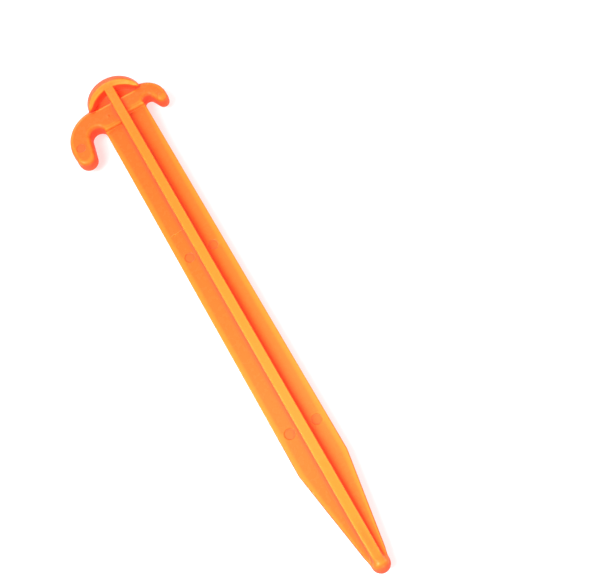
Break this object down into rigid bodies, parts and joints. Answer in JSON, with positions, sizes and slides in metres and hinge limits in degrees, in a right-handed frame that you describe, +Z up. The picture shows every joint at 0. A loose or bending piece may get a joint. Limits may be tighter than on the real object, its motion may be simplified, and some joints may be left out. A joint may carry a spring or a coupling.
{
  "type": "tent stake",
  "caption": "Moulded plastic tent stake of cross-shaped section with a domed striking cap, a large and a small guy-line hook and a tapered blunt point.",
  "frame": {"origin": "on the back rib's outer face, halfway along the stake, where the stake rests when it lies on its back", "axes": "+X across the stake towards the small hook, +Y along the stake towards the striking cap, +Z up out of the front face"},
  "size_m": [0.0463, 0.229, 0.012],
  "materials": {
    "orange_plastic": "semi-gloss, slightly translucent, as moulded"
  },
  "bodies": {
    "root": {"striking_cap": "orange_plastic", "left_cap_web": "orange_plastic", "right_cap_web": "orange_plastic", "left_yoke": "orange_plastic", "right_yoke": "orange_plastic", "large_hook": "orange_plastic", "small_hook": "orange_plastic", "left_flange": "orange_plastic", "right_flange": "orange_plastic", "front_rib": "orange_plastic", "back_rib": "orange_plastic", "point": "orange_plastic"}
  },
  "joints": []
}
